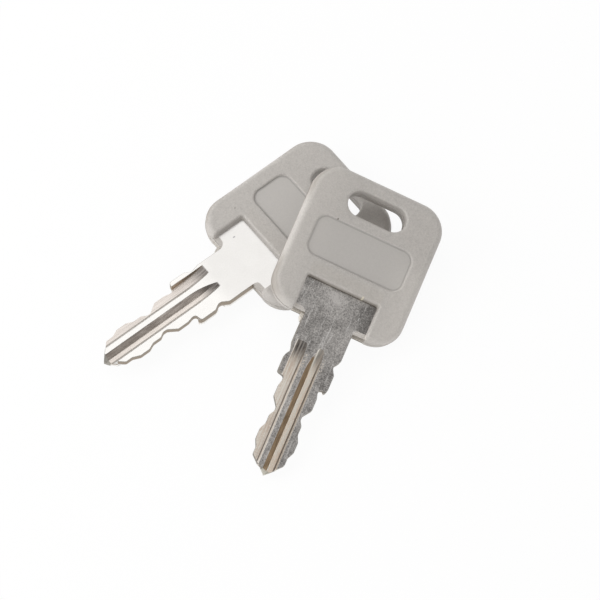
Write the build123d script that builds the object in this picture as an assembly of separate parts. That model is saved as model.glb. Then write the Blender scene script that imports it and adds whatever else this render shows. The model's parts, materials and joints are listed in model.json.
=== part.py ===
from build123d import *
import math
import os

# A pair of identical flat keys: one lies on the table and the other leans on its head.
# All sizes are in millimetres and all angles in degrees.
# Each key is drawn in its own frame: the origin is the middle of the head's bottom edge, half way
# through the thickness. +Y runs up the head, the blade points along -Y and +Z is the key's front.

# Moulded head
head_width = 25.0
head_height = 27.6
head_thickness = 4.4
head_corner_radius = 5.1
head_edge_radius = 1.15
side_draft = 2.5
parting_ridge = 0.06

# Slot for the key ring
slot_length = 11.1
slot_height = 4.75
slot_from_top = 5.1
slot_rim_radius = 0.5

# Recessed panel on both faces of the head
panel_width = 18.8
panel_height = 8.3
panel_to_slot = 1.925
panel_depth = 0.3
panel_corner_radius = 2.2
panel_rim_lean = 45.0
panel_rim_radius = 0.4

# Open notch that shows the metal, on both faces of the head
notch_width = 13.6
notch_height = 6.6
notch_lean = 10.0
notch_rim_radius = 0.45

# Metal blank: blade, shoulders and the bow inside the head
metal_thickness = 2.0
neck_width = 9.3
shoulder_height = 1.0
left_shoulder_radius = 1.3
right_shoulder_radius = 0.8
bow_width = 17.0
bow_to_slot = 4.325
bow_corner_radius = 2.0
anchor_diameter = 3.6
anchor_spacing = 9.2
anchor_below_bow_top = 4.6
metal_edge = 0.08

# Stub of plastic that runs down the left side of the neck
stub_width = 0.55
stub_tip_width = 0.2
stub_length = 1.3
stub_taper_start = 0.65
stub_thickness = 1.5

# Bitting, alike on both sides of the blade: distance below the head, flat length and half width
bitting = [
    (6.85, 0.6, 4.08),
    (9.85, 3.2, 4.72),
    (12.10, 0.7, 3.27),
    (14.60, 2.2, 3.55),
    (17.80, 0.8, 2.38),
    (20.00, 1.7, 2.95),
    (23.10, 2.0, 3.52),
    (26.20, 1.4, 2.90),
]
bitting_shift = -0.22
neck_length = 5.3
bitting_radius = 0.55
tip_angle = 90.0
tip_bevel_length = 1.0
tip_bevel_depth = 0.5

# Small square tooth of burr that the cutter left at the end of the widest land
burr_side = 0.6
burr_inset = 0.5
burr_turn = 45.0

# Grooves milled by disc cutters, which lift out of the metal below the head
cutter_radius = 17.0
cutter_stop = 10.1
run_out_arc = 60.0
side_groove_depth = 0.9
side_groove_outer = 4.06
side_groove_inner = 2.2
middle_groove_depth = 0.9
middle_groove_top = 0.77
middle_groove_foot = 0.26
middle_groove_wall = 1.12
groove_corner = 0.18
groove_wall_lean = 0.45
groove_edge = 0.07

# How the keys lie, seen from above: a turn is clockwise from +Y
rear_turn = 53.1
rear_place = (-10.97, 5.47)
front_turn = 23.9
front_place = (4.68, -7.69)
rest_gap = 0.06

# Search for the front key's place: the most it can roll, and how often each angle is refined
most_roll = 40.0
roll_rounds = 11
pitch_rounds = 4

# How far a cutter stands out of the face that it cuts, and how near counts as the same place
cut_margin = 1.0
same_place = 0.01

slot_centre = head_height - slot_from_top
slot_bottom = slot_centre - slot_height / 2
panel_centre = slot_bottom - panel_to_slot - panel_height / 2
bow_top = slot_bottom - bow_to_slot
anchor_height = bow_top - anchor_below_bow_top
last_station, last_flat, last_half = bitting[-1]
blade_length = last_station + last_flat / 2 + last_half / math.tan(math.radians(tip_angle / 2))


def both_faces(cutter):
    """The cutter for the front face, and the same one turned round the blade for the back."""
    return [cutter, Rot(Y=180) * cutter]


def head_outline(margin=0.0):
    """The head seen from the front, grown by a margin."""
    shape = RectangleRounded(head_width + 2 * margin, head_height + 2 * margin, head_corner_radius + margin)
    return Pos(0, head_height / 2) * shape


def face_edges(half):
    """Edges of the flat face of a half."""
    return half.faces().filter_by(Plane.XY).sort_by(Axis.Z)[-1].edges()


def inside(shapes, y, width, height):
    """Those of the shapes whose centre lies in a rectangle that is centred on the key's middle at y."""
    centres = [(shape, shape.center()) for shape in shapes]
    return [s for s, c in centres if abs(c.X) < width / 2 and abs(c.Y - y) < height / 2]


def drafted_half():
    """The front half of the head's plate, up from the parting line."""
    return extrude(head_outline(), amount=head_thickness / 2, taper=side_draft)


def head_plate():
    """The plain plate, with rounded face edges and nothing cut into it."""
    half = drafted_half()
    half = fillet(face_edges(half), head_edge_radius)
    return half + mirror(half, about=Plane.XY)


def cut_notch(half):
    """Pocket down to the metal's face, open at the head's bottom edge, and the rounded edges round it."""
    depth = (head_thickness - metal_thickness) / 2
    shape = Rectangle(notch_width, notch_height + cut_margin, align=(Align.CENTER, Align.MAX))
    floor = Pos(0, notch_height, metal_thickness / 2)
    half -= extrude(floor * shape, amount=depth + cut_margin, taper=-notch_lean)
    area = ((notch_height + cut_margin) / 2, notch_width + cut_margin, notch_height)
    inner = inside(face_edges(half), *area)
    half = fillet([edge for edge in face_edges(half) if edge not in inner], head_edge_radius)
    rim = []
    for wall in inside(half.faces(), *area):
        if metal_thickness / 2 + same_place < wall.center().Z < head_thickness / 2 - same_place:
            edges = [edge for edge in wall.edges() if edge.center().Z > metal_thickness / 2 + same_place]
            rim += [edge for edge in edges if edge not in rim]
    return fillet(rim, notch_rim_radius)


def cut_panel(half):
    """Shallow recess with a leaning, rounded rim."""
    floor = Pos(0, panel_centre, head_thickness / 2 - panel_depth)
    shape = RectangleRounded(panel_width - 2 * panel_depth, panel_height - 2 * panel_depth,
                             panel_corner_radius - panel_depth)
    half -= extrude(floor * shape, amount=panel_depth + cut_margin, taper=-panel_rim_lean)
    rim = inside(face_edges(half), panel_centre, panel_width + same_place, panel_height + same_place)
    return fillet(rim, panel_rim_radius)


def cut_ring_slot(half):
    """Slot right through the head, with a rounded rim."""
    half -= extrude(Pos(0, slot_centre) * SlotOverall(slot_length, slot_height), amount=head_thickness)
    rim = inside(face_edges(half), slot_centre, slot_length + same_place, slot_height + same_place)
    return fillet(rim, slot_rim_radius)


def neck_stub():
    """Small tapered stub of plastic beside the neck."""
    side = -neck_width / 2
    shape = Polygon(
        (side + cut_margin, shoulder_height / 2),
        (side - stub_width, shoulder_height / 2),
        (side - stub_width, -stub_taper_start),
        (side - stub_tip_width, -stub_length),
        (side + cut_margin, -stub_length),
        align=None,
    )
    return extrude(shape, amount=stub_thickness / 2, both=True)


def blank_outline():
    """Bow, shoulders, neck and the cut blade, seen from the front."""
    cuts = []
    for station, flat, half in bitting:
        cuts.append((half, -(station - flat / 2)))
        cuts.append((half, -(station + flat / 2)))
    neck = [(neck_width / 2, shoulder_height + cut_margin), (neck_width / 2, -neck_length)]
    right = neck + [(bitting_shift + half, y) for half, y in cuts]
    left = [(-x, y) for x, y in neck] + [(bitting_shift - half, y) for half, y in cuts]
    blade = Polygon(*left, (0, -blade_length), *reversed(right), align=None)
    cut_points = [v for v in blade.vertices() if -blade_length < v.Y < 0]
    blade = fillet(cut_points, bitting_radius)
    bow_size = bow_top - shoulder_height
    bow = Pos(0, shoulder_height) * Rectangle(bow_width, bow_size, align=(Align.CENTER, Align.MIN))
    bow = fillet(bow.vertices().group_by(Axis.Y)[-1], bow_corner_radius)
    outline = bow + blade
    for side, radius in ((-1, left_shoulder_radius), (1, right_shoulder_radius)):
        corner = Vector(side * neck_width / 2, shoulder_height)
        nearest = outline.vertices().sort_by_distance(corner)[0]
        outline = fillet(nearest, radius)
    return outline


def cutter_burr():
    """The burr's tooth, a little thinner than the blade."""
    station, flat, half = bitting[1]
    place = Pos(bitting_shift + half - burr_inset, -(station + flat / 2)) * Rot(Z=burr_turn)
    tooth = place * Rectangle(burr_side, burr_side)
    return extrude(tooth, amount=metal_thickness / 2 - metal_edge, both=True)


def metal_blank():
    """The blank with its cuts and broken edges, before the grooves."""
    blank = extrude(Pos(0, 0, -metal_thickness / 2) * blank_outline(), amount=metal_thickness)
    faces = blank.faces().sort_by(Axis.Z)
    blank = chamfer(faces[0].edges() + faces[-1].edges(), metal_edge)
    for x in (-anchor_spacing / 2, anchor_spacing / 2):
        blank -= Pos(x, anchor_height) * Cylinder(anchor_diameter / 2, 2 * metal_thickness)
    return blank


def milled_groove(section, floor):
    """A section swept down the blade, and round the cutter where it lifts out."""
    stop = Plane(origin=(0, -cutter_stop, 0), x_dir=(1, 0, 0), z_dir=(0, -1, 0))
    face = stop * Polygon(*section, align=None)
    run = extrude(face, amount=blade_length)
    axis = Axis((0, -cutter_stop, floor + cutter_radius), (1, 0, 0))
    return run + revolve(face, axis=axis, revolution_arc=run_out_arc)


def broken_edge(lip, side):
    """Top of a groove's wall, cut back at the blade's face: side is 1 for +X and -1 for -X."""
    face = metal_thickness / 2
    return [(lip, face - groove_edge), (lip + side * (groove_edge + cut_margin), face + cut_margin)]


def leaning_wall(foot, depth, side):
    """Wall of a groove from the floor's edge up: a sloping corner, a steeper wall and a broken edge."""
    floor = metal_thickness / 2 - depth
    corner = foot + side * groove_corner
    lip = corner + side * groove_wall_lean * (depth - groove_corner - groove_edge)
    return [(foot, floor), (corner, floor + groove_corner)] + broken_edge(lip, side)


def side_groove():
    """Wide groove near one edge of the blade, with a flat floor and an upright outer wall."""
    floor = metal_thickness / 2 - side_groove_depth
    inner = leaning_wall(-side_groove_inner, side_groove_depth, 1)
    outer = [(-side_groove_outer, floor)] + broken_edge(-side_groove_outer, -1)
    return milled_groove(inner + outer[::-1], floor)


def middle_groove():
    """Groove with one sloping side, a flat floor and one steep wall."""
    floor = metal_thickness / 2 - middle_groove_depth
    top = metal_thickness / 2 + cut_margin
    slope = (middle_groove_foot + middle_groove_top) / middle_groove_depth
    sloping = [(middle_groove_foot - slope * (top - floor), top), (middle_groove_foot, floor)]
    return milled_groove(sloping + leaning_wall(middle_groove_wall, middle_groove_depth, 1), floor)


def tip_bevel():
    """Wedge that thins the tip from one face."""
    face = metal_thickness / 2
    side = Polygon(
        (-blade_length + tip_bevel_length, face),
        (-blade_length, face - tip_bevel_depth),
        (-blade_length - cut_margin, face - tip_bevel_depth),
        (-blade_length - cut_margin, face + cut_margin),
        (-blade_length + tip_bevel_length, face + cut_margin),
        align=None,
    )
    return extrude(Plane.YZ * side, amount=neck_width, both=True)


def key_blade(blank):
    """The finished metal: burr, grooves and tip."""
    blank += cutter_burr()
    for cutter in both_faces(side_groove()) + both_faces(middle_groove()) + both_faces(tip_bevel()):
        blank -= cutter
    return blank


def parting_line():
    """Thin ridge round the head, and in its slot, where the two halves of the mould met."""
    slot = SlotOverall(slot_length - 2 * parting_ridge, slot_height - 2 * parting_ridge)
    return extrude(head_outline(parting_ridge) - Pos(0, slot_centre) * slot, amount=parting_ridge, both=True)


def key_head(blank):
    """The finished plastic, moulded round the metal's bow."""
    half = cut_ring_slot(cut_panel(cut_notch(drafted_half())))
    return half + mirror(half, about=Plane.XY) + parting_line() + neck_stub() - blank


def lowest(shape):
    return shape.bounding_box().min.Z


def touch_table(roll, plate, blank):
    """Place for the front key at this roll, with its tip and its head on the table."""
    x, y = front_place
    pitch = 0.0
    for _ in range(pitch_rounds):
        turned = Rot(Z=-front_turn) * Rot(X=pitch) * Rot(Y=roll)
        head_low = lowest(turned * plate)
        tip_low = lowest(turned * blank)
        pitch += math.degrees((tip_low - head_low) / blade_length)
    return Pos(x, y, -min(head_low, tip_low)) * turned


def lean_on_head(plate, blank, rear_plate):
    """Place where the front key touches the table at two points and the rear head at a third."""
    low, high = 0.0, most_roll
    for _ in range(roll_rounds):
        roll = (low + high) / 2
        place = touch_table(roll, plate, blank)
        if (place * plate).distance_to(rear_plate) > rest_gap:
            high = roll
        else:
            low = roll
    return touch_table(high, plate, blank)


def box_middle(shapes):
    """Middle of the lowest face of the box round all the shapes."""
    boxes = [shape.bounding_box() for shape in shapes]
    low = [min(tuple(box.min)[axis] for box in boxes) for axis in range(3)]
    high = [max(tuple(box.max)[axis] for box in boxes) for axis in range(3)]
    return Vector((low[0] + high[0]) / 2, (low[1] + high[1]) / 2, low[2])


def build():
    """The four nodes, moved so that the origin is at the bottom centre of their box."""
    plate = head_plate()
    blank = metal_blank()
    head = key_head(blank)
    blade = key_blade(blank)
    x, y = rear_place
    rear = Pos(x, y, head_thickness / 2) * Rot(Z=-rear_turn)
    front = lean_on_head(plate, blank, rear * plate)
    nodes = {
        "rear_key_head": rear * head,
        "rear_key_blade": rear * blade,
        "front_key_head": front * head,
        "front_key_blade": front * blade,
    }
    centred = Location(-box_middle(nodes.values()))
    for name, shape in nodes.items():
        export_step(centred * shape, f"parts/{name}.step")
    return centred * rear, centred * front


if __name__ == "__main__":
    os.makedirs("parts", exist_ok=True)
    for place in build():
        print("key placed at", place)
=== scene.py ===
import json
import math
from types import SimpleNamespace

import bmesh
import bpy
from mathutils import Matrix, Quaternion, Vector

# Two flat keys on a pale table. The scene is in metres. The materials work in millimetres and read
# each key in its own frame: the origin is the middle of its head's bottom edge, +Y runs up the
# head, the blade points along -Y and +Z is the key's front. Both faces of a key carry the same marks.

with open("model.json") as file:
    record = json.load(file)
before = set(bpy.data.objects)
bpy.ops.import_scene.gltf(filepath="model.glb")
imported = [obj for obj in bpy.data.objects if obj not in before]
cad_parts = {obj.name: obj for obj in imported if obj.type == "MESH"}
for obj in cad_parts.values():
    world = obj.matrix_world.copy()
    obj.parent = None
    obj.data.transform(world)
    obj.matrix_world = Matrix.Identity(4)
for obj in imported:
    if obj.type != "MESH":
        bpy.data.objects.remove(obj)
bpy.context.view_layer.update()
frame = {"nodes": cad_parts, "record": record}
mounts = {mount["name"]: mount for mount in frame["record"]["mounts"]}
MILLIMETRES_IN_A_METRE = 1000.0

# Sizes of the head that its finish follows, in millimetres
HEAD_FACE = 2.2
HEAD_MIDDLE = 13.8
PANEL_FLOOR = 1.9
PANEL_HALF_WIDTH = 9.4
PANEL_HALF_HEIGHT = 4.15
PANEL_CENTRE = 14.05
PANEL_CORNER = 1.9
PANEL_RIM = 0.3
NOTCH_HEIGHT = 6.6
NOTCH_HALF_WIDTH = 6.8

# Where the marks on the head start and end, in millimetres. PANEL_LINE_STRIP is measured outwards
# from the edge of the panel's floor, and HEAD_CORNERS up and down from the middle of the head.
PANEL_LINE_STRIP = (-0.2, 0.14)
PANEL_LINE_TOP = (PANEL_FLOOR + 0.1, PANEL_FLOOR + 0.22)
NOTCH_SIDES = (NOTCH_HALF_WIDTH, NOTCH_HALF_WIDTH + 0.3)
NOTCH_TOP_WALL = (NOTCH_HEIGHT - 1.0, NOTCH_HEIGHT + 0.9)
NOTCH_LEFT_END = (-6.5, -3.0)
ABOVE_NOTCH = (NOTCH_HEIGHT, NOTCH_HEIGHT + 2.6)
SHELF = (0.15, 1.1)
SHELF_EDGE = (0.0, 0.16)
SHELF_WALL_TOP = (-0.05, 0.1)
HEAD_LEFT = (-12.0, -4.0)
HEAD_RIGHT = (4.0, 11.5)
HEAD_LOWER_HALF = (12.0, 19.0)
HEAD_LEFT_RIM = (-11.5, -8.5)
HEAD_ROUNDING = (HEAD_FACE - 0.4, HEAD_FACE)
HEAD_CORNERS = (4.0, 8.5)

# Sizes of the blade that its finish follows, in millimetres. A pair is a strip across the blade.
# The floors of the grooves are level up to GROOVE_LEVEL, and rise from there to GROOVE_EXIT.
METAL_FACE = 1.0
METAL_EDGE = 0.08
SIDE_GROOVE = (-4.12, -1.66)
SIDE_OUTER_WALL = (-4.2, -3.85)
MIDDLE_GROOVE = (-0.77, 1.66)
MIDDLE_SLOPE = (-0.77, 0.19)
MIDDLE_RIB = (0.08, 0.36)
WORN_LIPS = ((-1.7, -1.25), (1.7, 2.1))
GROOVE_EXIT = -4.6
GROOVE_LEVEL = -10.1
TIP_FACET = -28.9

# Where the marks along the blade start and end, in millimetres
NOTCH_TOP_LINE = (NOTCH_HEIGHT - 0.3, NOTCH_HEIGHT - 0.02)
WORN_RUN_OUTS = (-9.2, -6.6)
RUN_OUT_FADE = 4.0
SLOPE_TARNISH = (-27.0, -13.0)
SLOPE_RUN_OUT = (-9.5, -6.5)
SLOPE_END = (-6.8, -6.2)
RIB_START = (-10.5, -7.5)
OUTER_WALL_RUN_OUT = (-11.0, -7.5)

# Where a speck and a patch have faded out, in times their radii
SPECK_END = 2.0
PATCH_END = 1.8

# Plastic, which both heads share. The grain's height is in millimetres.
PLASTIC_ROUGHNESS = 0.55
PANEL_ROUGHNESS_CHANGE = -0.08
GRAIN_ROUGHNESS = 0.2
GRAIN_CONTRAST = 1.25
GRAIN_HEIGHT = 0.05
PANEL_SMOOTHNESS = 0.6
CLOUD_SCALE = 0.15
CLOUD_SHARE = 0.15
PANEL_GREY_SHARE = 0.3
PANEL_LINE_SHARE = 0.4
TAN_ABOVE_NOTCH = 0.3
HANDLED_SHARE = 0.6
PLASTIC_DARK = (0.385, 0.367, 0.347, 1.0)
PLASTIC_LIGHT = (0.605, 0.577, 0.547, 1.0)
PLASTIC_CLOUD = (0.50, 0.46, 0.42, 1.0)
# Painted light that pales the head's sides, and painted shade, a little brown, on its left rim
PLASTIC_PALE = (0.75, 0.71, 0.66, 1.0)
PLASTIC_HANDLED = (0.30, 0.268, 0.235, 1.0)
PANEL_GREY = (0.50, 0.487, 0.47, 1.0)
# Painted shade in a fine strip where each panel's floor meets its rim
PANEL_LINE = (0.25, 0.24, 0.23, 1.0)
# Painted shade and painted light round the notch, and a dark line along the shelf's edge
NOTCH_GRIME = (0.10, 0.08, 0.06, 1.0)
NOTCH_TAN = (0.48, 0.435, 0.365, 1.0)
SHELF_WALL_PALE = (0.88, 0.81, 0.70, 1.0)
SHELF_PALE = (0.74, 0.70, 0.65, 1.0)
SHELF_GRIME = (0.14, 0.115, 0.085, 1.0)

# Metal, which both blades share. The streaks' height is in millimetres.
METAL_ROUGHNESS = 0.32
DENT_ROUGHNESS = 0.15
RUBBED_ROUGHNESS = 0.35
STREAK_HEIGHT = 0.03
STREAK_MIDDLE = 0.56
SLOPE_STREAKED = 2.6
# Strength of the painted shade line at the foot of the inner walls
LINE_STRENGTH = 0.95
LINE_STRENGTH_AT_EXIT = 0.4
METAL_SCRATCH = (0.95, 0.94, 0.92, 1.0)
METAL_WORN = (1.0, 0.91, 0.80, 1.0)
# Painted contact shadow where the metal meets the notch
METAL_GRIME = (0.13, 0.11, 0.085, 1.0)
METAL_TARNISH = (0.12, 0.09, 0.065, 1.0)
# Painted shade in the run-outs
RUN_OUT_FLOOR = (0.08, 0.07, 0.067, 1.0)
RUN_OUT_SLOPE = (0.06, 0.05, 0.045, 1.0)
CUT_BRIGHT = (0.95, 0.93, 0.9, 1.0)

# Camera: its target and distance in metres, angles in degrees, lens and sensor in millimetres
CAMERA_TARGET_FROM_REAR_KEY = Vector((0.01097, -0.00547, -0.0022))
CAMERA_DISTANCE = 1.0
CAMERA_ELEVATION = 62.97
CAMERA_ROLL = -1.70
CAMERA_LENS = 338.46
CAMERA_SENSOR = 36.0

# Light. The tent turns grey while the height of the direction, from 0 to 1, passes its shoulder.
FLOOR_HALF_SIZE = 5.0
FLOOR_WHITE = (0.96, 0.96, 0.96, 1.0)
FLOOR_GLOW_SHARE = 0.93
TENT_WHITE = (1.0, 1.0, 1.0, 1.0)
TENT_OVERHEAD = (0.33, 0.32, 0.31, 1.0)
TENT_SHOULDER = (0.3, 0.85)

# The finish of each key. Colours are linear, and an amount of 0 leaves its mark off.
# Head: grime sets the painted shade along the notch and the dark line along its
# shelf's edge, tan the warm painted light round the notch, and pale_left
# and pale_right how much paler the head is at its left and low on its right, as painted light.
# Specks and patches: centre, radii, and then a colour or a change of tone. The patches on the blade
# are painted light and shade.
# Faces: the contrast is how far the dents part the dark and the light tone, which paints their glints.
# Grooves: _floor and _light are the tones of the milled streaks, partly painted light. The run-outs get
# painted shade from exit_start on, by exit, with streaks as strong as drag,
# and middle_exit is the middle groove's share of that.
# Slope: its tones are partly painted reflection, tarnish darkens it towards the tip and slope_exit
# paints shade towards the run-out, and rib turns its end to the face's colour
# and paints the highlight on the bright strip beside its end.
# Walls: side_line and middle_line are the strips of the dark line of painted shade at the
# foot of each inner wall, wall is the painted light on the wall above it, and outer_wall and
# outer_exit are the painted light and shade of the outer wall, and of it in the run-out.
# Edges: tip is the painted light and shade of the bevelled tip, cut the dull colour
# with painted shade of the cut edges above cut_level, below which they are bright, and edge
# the painted shade on the broken edge all round the faces.
FINISH = {
    "rear_key": {
        "grime": 0.12,
        "tan": 0.2,
        "pale_left": 0.0,
        "pale_right": 0.0,
        "head_specks": (((-8.89, 6.54), (0.08, 0.08), (0.22, 0.20, 0.18, 1.0)),),
        "face_dark": (0.62, 0.61, 0.595, 1.0),
        "face_light": (0.81, 0.80, 0.78, 1.0),
        "contrast": 0.6,
        "dent_height": 0.004,
        "patches": (((0.0, 1.5), (6.5, 5.0), -0.42),),
        "blade_specks": (((-4.93, 3.18), (0.07, 0.16), (0.25, 0.25, 0.26, 1.0)),),
        "scratched": 0.0,
        "worn_lips": 0.0,
        "streaked": 1.8,
        "milled_rough": 0.2,
        "side_floor": (0.70, 0.645, 0.60, 1.0),
        "side_light": (0.92, 0.865, 0.82, 1.0),
        "middle_floor": (0.76, 0.70, 0.65, 1.0),
        "middle_light": (1.0, 0.94, 0.885, 1.0),
        "exit": 0.57,
        "middle_exit": 1.35,
        "drag": 1.0,
        "exit_start": -8.8,
        "slope": (0.33, 0.285, 0.255, 1.0),
        "slope_light": (0.68, 0.62, 0.57, 1.0),
        "tarnish": 0.35,
        "slope_exit": 0.7,
        "rib": 0.0,
        "side_line": (-2.42, -2.17),
        "middle_line": (0.93, 1.12),
        "line": (0.40, 0.375, 0.345, 1.0),
        "wall": (0.80, 0.79, 0.77, 1.0),
        "outer_wall": (0.72, 0.62, 0.52, 1.0),
        "outer_exit": (0.46, 0.40, 0.34, 1.0),
        "tip": (0.42, 0.40, 0.36, 1.0),
        "cut": (0.38, 0.325, 0.265, 1.0),
        "cut_level": -0.5,
        "edge": (0.46, 0.43, 0.39, 1.0),
    },
    "front_key": {
        "grime": 0.8,
        "tan": 0.45,
        "pale_left": 0.2,
        "pale_right": 0.25,
        "head_specks": (
            ((3.65, 6.75), (0.11, 0.16), (0.66, 0.61, 0.48, 1.0)),
            ((-5.92, 18.1), (0.09, 0.09), (0.16, 0.14, 0.12, 1.0)),
        ),
        "face_dark": (0.28, 0.27, 0.263, 1.0),
        "face_light": (1.0, 0.975, 0.95, 1.0),
        "contrast": 2.2,
        "dent_height": 0.014,
        "patches": (
            ((-0.1, 5.1), (1.2, 0.8), 0.42),
            ((-1.8, 4.3), (2.2, 1.2), 0.12),
            ((-6.3, 5.6), (0.9, 0.8), -0.12),
            ((6.0, 3.9), (1.2, 2.2), -0.34),
            ((3.4, -8.8), (0.8, 2.0), -0.14),
            ((1.2, -27.5), (2.0, 2.5), -0.1),
            ((-1.25, -20.0), (0.4, 8.0), 0.12),
        ),
        "blade_specks": (
            ((4.55, 3.1), (0.06, 0.2), (1.0, 1.0, 1.0, 1.0)),
            ((5.15, 2.7), (0.06, 0.06), (1.0, 1.0, 1.0, 1.0)),
            ((-5.5, 5.9), (0.06, 0.12), (1.0, 1.0, 1.0, 1.0)),
        ),
        "scratched": 0.45,
        "worn_lips": 1.0,
        "streaked": 4.0,
        "milled_rough": 0.33,
        "side_floor": (0.84, 0.735, 0.64, 1.0),
        "side_light": (1.0, 0.965, 0.90, 1.0),
        "middle_floor": (0.96, 0.84, 0.72, 1.0),
        "middle_light": (1.0, 0.975, 0.91, 1.0),
        "exit": 0.72,
        "middle_exit": 0.72,
        "drag": 1.4,
        "exit_start": -9.6,
        "slope": (0.24, 0.178, 0.115, 1.0),
        "slope_light": (0.51, 0.385, 0.26, 1.0),
        "tarnish": 0.0,
        "slope_exit": 0.0,
        "rib": 0.85,
        "side_line": (-2.17, -1.95),
        "middle_line": (1.18, 1.42),
        "line": (0.26, 0.225, 0.20, 1.0),
        "wall": (0.80, 0.755, 0.70, 1.0),
        "outer_wall": (1.0, 0.96, 0.91, 1.0),
        "outer_exit": (1.0, 0.96, 0.91, 1.0),
        "tip": (0.66, 0.64, 0.57, 1.0),
        "cut": (0.36, 0.335, 0.30, 1.0),
        "cut_level": -2.0,
        "edge": (0.34, 0.32, 0.295, 1.0),
    },
}


def key_frame(key):
    """The key's own frame in the scene, read from its mounts."""
    blade = mounts[key + "_blade_axis"]
    up = -Vector(blade["axis"]).normalized()
    out = Vector(mounts[key + "_ring_slot"]["axis"]).normalized()
    place = Matrix((up.cross(out), up, out)).transposed().to_4x4()
    place.translation = Vector(blade["pos_m"])
    return place


# Small helpers for node trees. An input is either a value or the output socket of another node.

def fill(tree, socket, value):
    if isinstance(value, bpy.types.NodeSocket):
        tree.links.new(value, socket)
    else:
        socket.default_value = value


def add_node(tree, kind, settings=None, inputs=None):
    node = tree.nodes.new(kind)
    for name, value in (settings or {}).items():
        setattr(node, name, value)
    for name, value in (inputs or {}).items():
        fill(tree, node.inputs[name], value)
    return node


def maths(tree, operation, *values, clamp=False):
    node = add_node(tree, "ShaderNodeMath", {"operation": operation, "use_clamp": clamp})
    for socket, value in zip(node.inputs, values):
        fill(tree, socket, value)
    return node.outputs["Value"]


def product(tree, first, *others):
    """Masks and amounts multiplied together."""
    for other in others:
        first = maths(tree, "MULTIPLY", first, other)
    return first


def slant(tree, aside, up):
    """Length of the straight line that goes this far aside and this far up."""
    squares = [maths(tree, "POWER", side, 2.0) for side in (aside, up)]
    return maths(tree, "SQRT", maths(tree, "ADD", *squares))


def ramp(tree, value, low, high, to_low, to_high):
    """Smooth change from to_low to to_high while the value goes from low to high."""
    inputs = {"Value": value, "From Min": low, "From Max": high, "To Min": to_low, "To Max": to_high}
    node = add_node(tree, "ShaderNodeMapRange", {"interpolation_type": "SMOOTHSTEP"}, inputs)
    return node.outputs["Result"]


def rises(tree, value, low, high, top=1.0):
    """Smooth change from 0 up to top while the value goes from low to high."""
    return ramp(tree, value, low, high, 0.0, top)


def falls(tree, value, low, high, top=1.0):
    """Smooth change from top down to 0 while the value goes from low to high."""
    return ramp(tree, value, low, high, top, 0.0)


def between(tree, value, low, high, soft):
    """Mask that is 1 between low and high, with soft ends."""
    rising = rises(tree, value, low - soft, low + soft)
    falling = falls(tree, value, high - soft, high + soft)
    return product(tree, rising, falling)


def spot(tree, at, centre, radii, end):
    """Mask that is 1 within an upright ellipse and fades out to end times its radii."""
    parts = []
    for place, middle, radius in zip((at.x, at.y), centre, radii):
        parts.append(maths(tree, "DIVIDE", maths(tree, "SUBTRACT", place, middle), radius))
    return falls(tree, slant(tree, *parts), 1.0, end)


def noise(tree, place, scale, detail, roughness=0.5):
    inputs = {"Vector": place, "Scale": scale, "Detail": detail, "Roughness": roughness}
    return add_node(tree, "ShaderNodeTexNoise", None, inputs).outputs["Fac"]


def mix_colour(tree, factor, first, second):
    node = add_node(tree, "ShaderNodeMix", {"data_type": "RGBA", "clamp_factor": True})
    sockets = {socket.identifier: socket for socket in (*node.inputs, *node.outputs)}
    fill(tree, sockets["Factor_Float"], factor)
    fill(tree, sockets["A_Color"], first)
    fill(tree, sockets["B_Color"], second)
    return sockets["Result_Color"]


def tint(tree, colour, other, *masks):
    """The colour, turned to the other one as far as all the masks let it."""
    return mix_colour(tree, product(tree, *masks), colour, other)


def tint_specks(tree, at, colour, specks):
    for centre, radii, speck in specks:
        colour = tint(tree, colour, speck, spot(tree, at, centre, radii, SPECK_END))
    return colour


def bump(tree, height):
    """Normal for a height in millimetres."""
    inputs = {"Height": height, "Distance": 1.0 / MILLIMETRES_IN_A_METRE, "Strength": 1.0}
    return add_node(tree, "ShaderNodeBump", None, inputs).outputs["Normal"]


FLOAT, VECTOR = "NodeSocketFloat", "NodeSocketVector"


def new_group(name, inputs, outputs):
    tree = bpy.data.node_groups.new(name, "ShaderNodeTree")
    for label, kind, value in inputs:
        socket = tree.interface.new_socket(label, in_out="INPUT", socket_type=kind)
        if value is not None:
            socket.default_value = value
    for label, kind in outputs:
        tree.interface.new_socket(label, in_out="OUTPUT", socket_type=kind)
    return tree, tree.nodes.new("NodeGroupInput").outputs, tree.nodes.new("NodeGroupOutput").inputs


def place_group(tree, group, at, **inputs):
    """Outputs of a shared effect, placed on the key."""
    settings = {"node_tree": group}
    return add_node(tree, "ShaderNodeGroup", settings, {"Place": at.point, **inputs}).outputs


# Effects that several materials share

def moulded_grain():
    """Fine matte grain that a spark-eroded mould leaves on plastic."""
    tree, given, made = new_group(
        "moulded grain",
        [("Place", VECTOR, None), ("Grain", FLOAT, 0.26), ("Smooth", FLOAT, 0.0)],
        [("Shade", FLOAT), ("Height", FLOAT)],
    )
    coarse_scale = 0.4
    coarse_share = 0.35
    middle = 0.5 + 0.5 * coarse_share
    scale = maths(tree, "DIVIDE", 1.0, given["Grain"])
    fine = noise(tree, given["Place"], scale, 2.0, 0.7)
    coarse = noise(tree, given["Place"], maths(tree, "MULTIPLY", scale, coarse_scale), 2.0, 0.6)
    height = maths(tree, "MULTIPLY_ADD", coarse, coarse_share, fine)
    rough = maths(tree, "SUBTRACT", 1.0, given["Smooth"])
    fill(tree, made["Shade"], product(tree, maths(tree, "SUBTRACT", height, middle), rough))
    fill(tree, made["Height"], product(tree, height, rough))
    return tree


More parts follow.
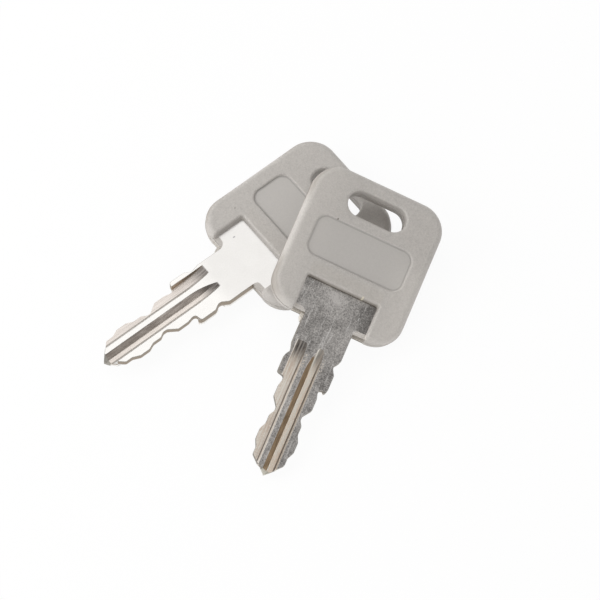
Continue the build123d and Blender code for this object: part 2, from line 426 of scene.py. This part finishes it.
def tumbled_dents():
    """Tiny dents that tumbling leaves all over plated metal, and a light and dark tone of painted
    glints.
    """
    tree, given, made = new_group(
        "tumbled dents",
        [("Place", VECTOR, None), ("Dent", FLOAT, 0.22), ("Cloud", FLOAT, 2.5)],
        [("Shade", FLOAT), ("Cloudiness", FLOAT), ("Height", FLOAT)],
    )
    scale = maths(tree, "DIVIDE", 1.0, given["Dent"])
    fine = noise(tree, given["Place"], scale, 2.0, 0.7)
    cells = add_node(tree, "ShaderNodeTexVoronoi", None, {"Vector": given["Place"], "Scale": scale})
    cloud = noise(tree, given["Place"], maths(tree, "DIVIDE", 1.0, given["Cloud"]), 3.0)
    fill(tree, made["Shade"], maths(tree, "SUBTRACT", fine, 0.5))
    fill(tree, made["Cloudiness"], maths(tree, "SUBTRACT", cloud, 0.5))
    fill(tree, made["Height"], maths(tree, "MULTIPLY_ADD", cells.outputs["Distance"], 0.5, fine))
    return tree


def milled_streaks():
    """Streaks along the blade that a milling cutter leaves in a groove."""
    tree, given, made = new_group(
        "milled streaks",
        [("Place", VECTOR, None), ("Width", FLOAT, 0.25), ("Length", FLOAT, 6.0)],
        [("Shade", FLOAT), ("Height", FLOAT)],
    )
    across = maths(tree, "DIVIDE", 1.0, given["Width"])
    along = maths(tree, "DIVIDE", 1.0, given["Length"])
    axes = add_node(tree, "ShaderNodeCombineXYZ", None, {"X": across, "Y": along, "Z": along})
    inputs = {0: given["Place"], 1: axes.outputs["Vector"]}
    place = add_node(tree, "ShaderNodeVectorMath", {"operation": "MULTIPLY"}, inputs).outputs["Vector"]
    lines = noise(tree, place, 1.0, 3.0, 0.6)
    fill(tree, made["Shade"], maths(tree, "SUBTRACT", lines, 0.5))
    fill(tree, made["Height"], lines)
    return tree


GRAIN = moulded_grain()
DENTS = tumbled_dents()
STREAKS = milled_streaks()


def new_material(name):
    material = bpy.data.materials.new(name)
    material.use_nodes = True
    return material, material.node_tree, material.node_tree.nodes["Principled BSDF"]


def key_place(tree, key):
    """The place on the key in millimetres, in the key's own frame."""
    inward = key_frame(key).inverted()
    inputs = {
        "Vector": tree.nodes.new("ShaderNodeTexCoord").outputs["Object"],
        "Location": inward.translation * MILLIMETRES_IN_A_METRE,
        "Rotation": inward.to_3x3().to_euler("XYZ"),
        "Scale": (MILLIMETRES_IN_A_METRE,) * 3,
    }
    point = add_node(tree, "ShaderNodeMapping", {"vector_type": "POINT"}, inputs).outputs["Vector"]
    axes = add_node(tree, "ShaderNodeSeparateXYZ", None, {"Vector": point}).outputs
    return SimpleNamespace(
        point=point,
        x=axes["X"],
        y=axes["Y"],
        z=axes["Z"],
        # Distance from the key's middle line, and from the plane midway between its faces
        aside=maths(tree, "ABSOLUTE", axes["X"]),
        above=maths(tree, "ABSOLUTE", axes["Z"]),
        # X as it is seen when either face is up
        across=maths(tree, "MULTIPLY", axes["X"], maths(tree, "SIGN", axes["Z"])),
    )


def panel_masks(tree, at):
    """The floor of the recessed panels, and painted shade in a fine strip where it meets their leaning
    rim.
    """
    up = maths(tree, "ABSOLUTE", maths(tree, "SUBTRACT", at.y, PANEL_CENTRE))
    in_width = falls(tree, at.aside, PANEL_HALF_WIDTH - PANEL_RIM, PANEL_HALF_WIDTH)
    in_height = falls(tree, up, PANEL_HALF_HEIGHT - PANEL_RIM, PANEL_HALF_HEIGHT)
    on_floor = falls(tree, at.above, PANEL_FLOOR, PANEL_FLOOR + 0.2)
    past_corner_centre = []
    for way, half_size in ((at.aside, PANEL_HALF_WIDTH), (up, PANEL_HALF_HEIGHT)):
        past = maths(tree, "SUBTRACT", way, half_size - PANEL_RIM - PANEL_CORNER)
        past_corner_centre.append(maths(tree, "MAXIMUM", past, 0.0))
    past_floor = maths(tree, "SUBTRACT", slant(tree, *past_corner_centre), PANEL_CORNER)
    low_on_rim = falls(tree, at.above, *PANEL_LINE_TOP)
    line = product(tree, between(tree, past_floor, *PANEL_LINE_STRIP, 0.07), low_on_rim)
    return product(tree, in_width, in_height, on_floor), line


def notch_marks(tree, at, finish, colour):
    """Painted shade along the top of the notch, and warm painted light above it and on the shelf below
    the shoulders.
    """
    grime, tan = finish["grime"], finish["tan"]
    in_notch = falls(tree, at.aside, *NOTCH_SIDES)
    on_top_wall = between(tree, at.y, *NOTCH_TOP_WALL, 0.3)
    by_metal = falls(tree, at.above, METAL_FACE, METAL_FACE + 1.15)
    more_at_left = ramp(tree, at.x, *NOTCH_LEFT_END, 1.0, 0.75)
    # Painted shade on the notch's top wall, darkest by the metal and towards the left
    colour = tint(tree, colour, NOTCH_GRIME, in_notch, on_top_wall, by_metal, grime, more_at_left)
    above_notch = between(tree, at.y, *ABOVE_NOTCH, 0.8)
    # Painted light, warm, above the notch
    colour = tint(tree, colour, NOTCH_TAN, in_notch, above_notch, TAN_ABOVE_NOTCH * tan)
    on_shelf_wall = falls(tree, at.y, *SHELF_WALL_TOP)
    # Painted light on the shelf's wall and on the shelf below the shoulders
    colour = tint(tree, colour, SHELF_WALL_PALE, in_notch, on_shelf_wall, tan)
    on_shelf = between(tree, at.y, *SHELF, 0.1)
    colour = tint(tree, colour, SHELF_PALE, in_notch, on_shelf, tan)
    on_shelf_edge = between(tree, at.y, *SHELF_EDGE, 0.04)
    # A dark line along the shelf's edge
    return tint(tree, colour, SHELF_GRIME, in_notch, on_shelf_edge, grime)


def handling_marks(tree, at, finish, colour):
    """Paler painted light at the left and low on the right, and darker painted shade on the left rim's
    corners.
    """
    # Painted light, paler at the left and low on the right
    at_left = falls(tree, at.x, *HEAD_LEFT, finish["pale_left"])
    at_right = rises(tree, at.x, *HEAD_RIGHT, finish["pale_right"])
    low_right = product(tree, at_right, falls(tree, at.y, *HEAD_LOWER_HALF))
    colour = tint(tree, colour, PLASTIC_PALE, maths(tree, "MAXIMUM", at_left, low_right))
    # Painted shade, a little brown, on the corners of the left rim
    on_rim = falls(tree, at.above, *HEAD_ROUNDING)
    on_left = falls(tree, at.x, *HEAD_LEFT_RIM)
    from_middle = maths(tree, "ABSOLUTE", maths(tree, "SUBTRACT", at.y, HEAD_MIDDLE))
    at_corners = rises(tree, from_middle, *HEAD_CORNERS, HANDLED_SHARE)
    return tint(tree, colour, PLASTIC_HANDLED, on_rim, on_left, at_corners)


def head_plastic(key, finish):
    """Light warm grey moulded plastic, grained all over, and finer in the recessed panels."""
    material, tree, shader = new_material(key + "_head_plastic")
    at = key_place(tree, key)
    panel, panel_line = panel_masks(tree, at)
    grain = place_group(tree, GRAIN, at, Smooth=product(tree, panel, PANEL_SMOOTHNESS))
    tone = maths(tree, "MULTIPLY_ADD", grain["Shade"], GRAIN_CONTRAST, 0.5)
    colour = mix_colour(tree, tone, PLASTIC_DARK, PLASTIC_LIGHT)
    clouds = noise(tree, at.point, CLOUD_SCALE, 2.0)
    colour = tint(tree, colour, PLASTIC_CLOUD, clouds, CLOUD_SHARE)
    colour = tint(tree, colour, PANEL_GREY, panel, PANEL_GREY_SHARE)
    # Painted shade where the panel's floor meets its leaning rim
    colour = tint(tree, colour, PANEL_LINE, panel_line, PANEL_LINE_SHARE)
    colour = notch_marks(tree, at, finish, colour)
    colour = handling_marks(tree, at, finish, colour)
    colour = tint_specks(tree, at, colour, finish["head_specks"])
    fill(tree, shader.inputs["Base Color"], colour)
    rough = maths(tree, "MULTIPLY_ADD", grain["Shade"], GRAIN_ROUGHNESS, PLASTIC_ROUGHNESS)
    rough = maths(tree, "MULTIPLY_ADD", panel, PANEL_ROUGHNESS_CHANGE, rough)
    fill(tree, shader.inputs["Roughness"], rough)
    fill(tree, shader.inputs["Normal"], bump(tree, product(tree, grain["Height"], GRAIN_HEIGHT)))
    return material


def dented_face(tree, at, finish, dents):
    """Colour of the tumbled faces with painted glints, light and shade, and a mask of where they are
    rubbed rough.
    """
    contrast = finish["contrast"]
    # The dents' tone and its clouds paint their glints into the colour
    tone = maths(tree, "MULTIPLY_ADD", dents["Shade"], contrast, 0.5)
    tone = maths(tree, "MULTIPLY_ADD", dents["Cloudiness"], 0.5 * contrast, tone)
    # Painted light and shade in patches
    for centre, radii, change in finish["patches"]:
        patch = spot(tree, at, centre, radii, PATCH_END)
        tone = maths(tree, "MULTIPLY_ADD", patch, change, tone)
    colour = mix_colour(tree, tone, finish["face_dark"], finish["face_light"])
    fine_lines = place_group(tree, STREAKS, at, Width=0.4)["Shade"]
    scratches = product(tree, rises(tree, fine_lines, 0.05, 0.2), finish["scratched"])
    colour = tint(tree, colour, METAL_SCRATCH, scratches)
    by_lips = maths(tree, "ADD", *[between(tree, at.across, *lip, 0.1) for lip in WORN_LIPS], clamp=True)
    by_run_outs = between(tree, at.y, *WORN_RUN_OUTS, 0.5)
    flecks = rises(tree, noise(tree, at.point, 3.0, 1.0), 0.5, 0.62)
    worn = product(tree, by_lips, by_run_outs, flecks, finish["worn_lips"])
    colour = tint(tree, colour, METAL_WORN, worn)
    # Painted contact shadow on the metal along the notch's top wall
    by_notch = rises(tree, at.y, *NOTCH_TOP_LINE, finish["grime"])
    colour = tint(tree, colour, METAL_GRIME, by_notch)
    colour = tint_specks(tree, at, colour, finish["blade_specks"])
    return colour, maths(tree, "MAXIMUM", worn, scratches)


def groove_floors(tree, at, finish, dents, streaks, drags, in_middle):
    """Streaked floors of both grooves, with streaked painted shade in their run-outs."""
    tone = maths(tree, "MULTIPLY_ADD", streaks["Shade"], finish["streaked"], STREAK_MIDDLE)
    # Painted glints from the dents on the floors too
    tone = maths(tree, "MULTIPLY_ADD", dents["Shade"], finish["contrast"], tone, clamp=True)
    side = mix_colour(tree, tone, finish["side_floor"], finish["side_light"])
    middle = mix_colour(tree, tone, finish["middle_floor"], finish["middle_light"])
    colour = mix_colour(tree, in_middle, side, middle)
    # Painted shade in the run-outs, streaked along the blade
    by_exit = rises(tree, at.y, finish["exit_start"], finish["exit_start"] + RUN_OUT_FADE)
    dragged = maths(tree, "MULTIPLY_ADD", drags["Shade"], finish["drag"], finish["exit"], clamp=True)
    share = maths(tree, "MULTIPLY_ADD", in_middle, finish["middle_exit"] - 1.0, 1.0)
    return tint(tree, colour, RUN_OUT_FLOOR, by_exit, dragged, share)


def middle_slope(tree, at, finish, drags, face):
    """Darker sloping side of the middle groove, partly painted reflection, which ends level with the
    face.
    """
    tone = maths(tree, "MULTIPLY_ADD", drags["Shade"], SLOPE_STREAKED, 0.5, clamp=True)
    colour = mix_colour(tree, tone, finish["slope"], finish["slope_light"])
    to_tip = falls(tree, at.y, *SLOPE_TARNISH, finish["tarnish"])
    colour = tint(tree, colour, METAL_TARNISH, to_tip)
    # Painted shade towards the run-out
    to_exit = rises(tree, at.y, *SLOPE_RUN_OUT, finish["slope_exit"])
    colour = tint(tree, colour, RUN_OUT_SLOPE, to_exit)
    past_end = rises(tree, at.y, *SLOPE_END, finish["rib"])
    return tint(tree, colour, face, past_end)


def groove_walls(tree, at, finish, colour):
    """Painted shade at the foot of the inner walls, and painted light on them and on the side groove's
    outer walls.
    """
    fading = (LINE_STRENGTH, LINE_STRENGTH_AT_EXIT)
    strength = ramp(tree, at.y, GROOVE_LEVEL, GROOVE_EXIT - 1.0, *fading)
    inner_walls = ((finish["side_line"], SIDE_GROOVE[1]), (finish["middle_line"], MIDDLE_GROOVE[1]))
    for (start, end), lip in inner_walls:
        # Painted shade at the foot of the wall, and painted light on the wall above it
        on_line = between(tree, at.across, start, end, 0.05)
        colour = tint(tree, colour, finish["line"], on_line, strength)
        on_wall = between(tree, at.across, end + 0.05, lip, 0.03)
        colour = tint(tree, colour, finish["wall"], on_wall)
    # Painted light and shade on the outer wall, changing in the run-out
    by_exit = rises(tree, at.y, *OUTER_WALL_RUN_OUT)
    outer = mix_colour(tree, by_exit, finish["outer_wall"], finish["outer_exit"])
    return tint(tree, colour, outer, between(tree, at.across, *SIDE_OUTER_WALL, 0.05))


def blade_metal(key, finish):
    """Nickel plate over milled metal: dented faces, streaked grooves and dull cut edges, with painted
    light and shade.
    """
    material, tree, shader = new_material(key + "_blade_metal")
    at = key_place(tree, key)
    dents = place_group(tree, DENTS, at)
    streaks = place_group(tree, STREAKS, at)
    drags = place_group(tree, STREAKS, at, Width=0.3, Length=2.5)
    in_side = between(tree, at.across, *SIDE_GROOVE, 0.02)
    in_middle = between(tree, at.across, *MIDDLE_GROOVE, 0.02)
    in_groove = maths(tree, "ADD", in_side, in_middle, clamp=True)
    off_groove = maths(tree, "SUBTRACT", 1.0, in_groove)
    below_face = falls(tree, at.above, METAL_FACE - 0.05, METAL_FACE - 0.01)
    milled = product(tree, in_groove, below_face)

    face, rubbed = dented_face(tree, at, finish, dents)
    floors = groove_floors(tree, at, finish, dents, streaks, drags, in_middle)
    slope = middle_slope(tree, at, finish, drags, face)
    colour = tint(tree, floors, slope, between(tree, at.across, *MIDDLE_SLOPE, 0.03))
    # Painted highlight on the strip beside the slope's end
    on_rib = between(tree, at.across, *MIDDLE_RIB, 0.05)
    by_exit = rises(tree, at.y, *RIB_START, finish["rib"])
    colour = tint(tree, colour, finish["middle_light"], on_rib, by_exit)
    colour = groove_walls(tree, at, finish, colour)
    # Painted light and shade on the bevelled tip's facet
    on_tip = falls(tree, at.y, TIP_FACET - 0.1, TIP_FACET + 0.1)
    colour = tint(tree, colour, finish["tip"], on_tip)
    # Cut edges: dull, with painted shade above the level and bright below it
    above_level = rises(tree, at.z, finish["cut_level"], finish["cut_level"] + 0.3)
    cut = mix_colour(tree, above_level, CUT_BRIGHT, finish["cut"])
    colour = mix_colour(tree, in_groove, cut, colour)
    colour = mix_colour(tree, below_face, face, colour)
    # Painted shade on the broken edge all round the faces
    broken_edge = between(tree, at.above, METAL_FACE - METAL_EDGE - 0.01, METAL_FACE - 0.01, 0.01)
    colour = tint(tree, colour, finish["edge"], broken_edge, off_groove)
    fill(tree, shader.inputs["Base Color"], colour)
    shader.inputs["Metallic"].default_value = 1.0

    rough = maths(tree, "MULTIPLY_ADD", dents["Shade"], DENT_ROUGHNESS, METAL_ROUGHNESS)
    rough = maths(tree, "MULTIPLY_ADD", rubbed, RUBBED_ROUGHNESS, rough)
    rough = maths(tree, "MULTIPLY_ADD", below_face, finish["milled_rough"], rough)
    fill(tree, shader.inputs["Roughness"], rough)
    streak_height = product(tree, milled, STREAK_HEIGHT)
    dented = maths(tree, "SUBTRACT", 1.0, milled)
    height = product(tree, dents["Height"], dented, finish["dent_height"])
    height = maths(tree, "MULTIPLY_ADD", streaks["Height"], streak_height, height)
    fill(tree, shader.inputs["Normal"], bump(tree, height))
    return material


def add_camera():
    data = bpy.data.cameras.new("camera")
    data.sensor_width = CAMERA_SENSOR
    data.lens = CAMERA_LENS
    data.clip_start = 0.01
    data.clip_end = 100.0
    camera = bpy.data.objects.new("camera", data)
    elevation = math.radians(CAMERA_ELEVATION)
    back = Vector((0.0, -math.cos(elevation), math.sin(elevation)))
    target = key_frame("rear_key").translation + CAMERA_TARGET_FROM_REAR_KEY
    camera.location = target + back * CAMERA_DISTANCE
    roll = Quaternion((0.0, 0.0, 1.0), math.radians(CAMERA_ROLL))
    camera.rotation_mode = "QUATERNION"
    camera.rotation_quaternion = (-back).to_track_quat("-Z", "Y") @ roll
    bpy.context.scene.collection.objects.link(camera)
    bpy.context.scene.camera = camera


def seen_rays(tree):
    """1 for rays that show the background: straight from the camera, mirrored or through glass."""
    rays = tree.nodes.new("ShaderNodeLightPath").outputs
    seen = maths(tree, "MAXIMUM", rays["Is Camera Ray"], rays["Is Glossy Ray"])
    return maths(tree, "MAXIMUM", seen, rays["Is Transmission Ray"])


def add_floor():
    """White table. Most of what is seen of it glows, and the rest is paint that shows a faint shadow."""
    data = bpy.data.meshes.new("floor")
    bm = bmesh.new()
    bmesh.ops.create_grid(bm, x_segments=1, y_segments=1, size=FLOOR_HALF_SIZE)
    bm.to_mesh(data)
    bm.free()
    floor = bpy.data.objects.new("floor", data)
    bpy.context.scene.collection.objects.link(floor)
    material, tree, paint = new_material("white_floor")
    paint.inputs["Base Color"].default_value = FLOOR_WHITE
    paint.inputs["Roughness"].default_value = 1.0
    paint.inputs["Specular IOR Level"].default_value = 0.0
    glow = add_node(tree, "ShaderNodeEmission", None, {"Color": TENT_WHITE, "Strength": 1.0})
    share = product(tree, seen_rays(tree), FLOOR_GLOW_SHARE)
    both = add_node(tree, "ShaderNodeMixShader", None, {"Fac": share})
    tree.links.new(paint.outputs["BSDF"], both.inputs[1])
    tree.links.new(glow.outputs["Emission"], both.inputs[2])
    tree.links.new(both.outputs["Shader"], tree.nodes["Material Output"].inputs["Surface"])
    data.materials.append(material)


def add_world():
    """Bright low down all round, like a light tent, and greyer overhead."""
    world = bpy.data.worlds.new("world")
    world.use_nodes = True
    tree = world.node_tree
    direction = tree.nodes.new("ShaderNodeTexCoord").outputs["Generated"]
    up = add_node(tree, "ShaderNodeSeparateXYZ", None, {"Vector": direction}).outputs["Z"]
    colour = mix_colour(tree, rises(tree, up, *TENT_SHOULDER), TENT_WHITE, TENT_OVERHEAD)
    fill(tree, tree.nodes["Background"].inputs["Color"], colour)
    bpy.context.scene.world = world


def add_softbox(name, direction, distance, size, energy, mirrored):
    """Square lamp that faces the keys from this direction, and may be mirrored in the metal."""
    data = bpy.data.lights.new(name, "AREA")
    data.size = size
    data.energy = energy
    lamp = bpy.data.objects.new(name, data)
    lamp.visible_glossy = mirrored
    lamp.location = Vector(direction).normalized() * distance
    lamp.rotation_mode = "QUATERNION"
    lamp.rotation_quaternion = (-lamp.location).to_track_quat("-Z", "Y")
    bpy.context.scene.collection.objects.link(lamp)


for key, finish in FINISH.items():
    for part, material in (("_head", head_plastic(key, finish)), ("_blade", blade_metal(key, finish))):
        node = frame["nodes"][key + part]
        node.data.materials.clear()
        node.data.materials.append(material)

add_camera()
add_floor()
add_world()
add_softbox("back_softbox", (-0.12, 0.52, 0.85), distance=0.8, size=0.6, energy=1.45, mirrored=True)
add_softbox("left_softbox", (-0.95, 0.05, 0.5), distance=0.4, size=0.3, energy=0.9, mirrored=False)
add_softbox("front_softbox", (-0.2, -0.95, 0.3), distance=0.8, size=0.5, energy=0.7, mirrored=False)
bpy.context.scene.view_settings.view_transform = "Standard"
